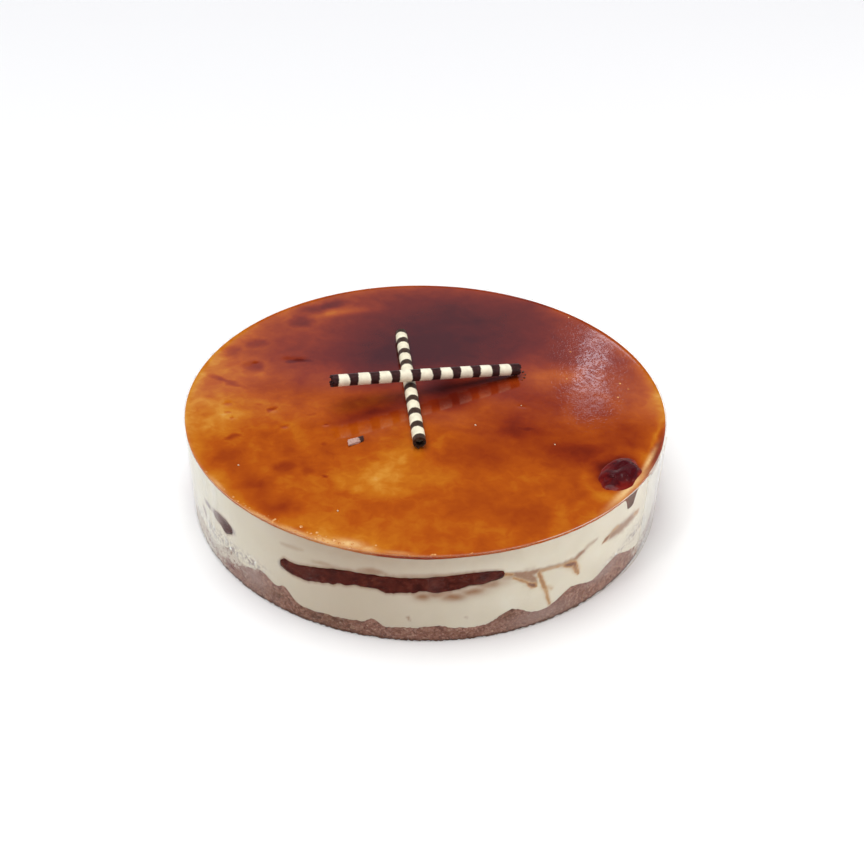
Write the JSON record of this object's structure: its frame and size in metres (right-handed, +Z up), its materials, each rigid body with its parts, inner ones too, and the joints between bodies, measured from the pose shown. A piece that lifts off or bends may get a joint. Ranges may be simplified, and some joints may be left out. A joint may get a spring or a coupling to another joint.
{
  "type": "cheesecake",
  "caption": "Round glazed cheesecake in a clear collar: crumb base, cream filling with a cocoa sponge, caramel glaze and two crossed striped chocolate rolls.",
  "frame": {"origin": "centre of the flat underside of the crumb base", "axes": "+Z up, -Y the front, where the long stretch of cocoa sponge shows at the side, +X right seen from the front"},
  "size_m": [0.24, 0.24, 0.0693],
  "materials": {
    "biscuit_crumb": "matte",
    "cocoa_sponge": "matte",
    "set_cream": "satin",
    "caramel_glaze": "gloss",
    "thick_caramel": "gloss",
    "clear_film": "gloss",
    "striped_chocolate": "satin"
  },
  "bodies": {
    "root": {"biscuit_base": "biscuit_crumb", "cocoa_sponge": "cocoa_sponge", "cheese_filling": "set_cream", "caramel_glaze": "caramel_glaze", "caramel_lump": "thick_caramel", "clear_collar": "clear_film", "chocolate_roll_lower": "striped_chocolate", "chocolate_roll_upper": "striped_chocolate"}
  },
  "joints": []
}
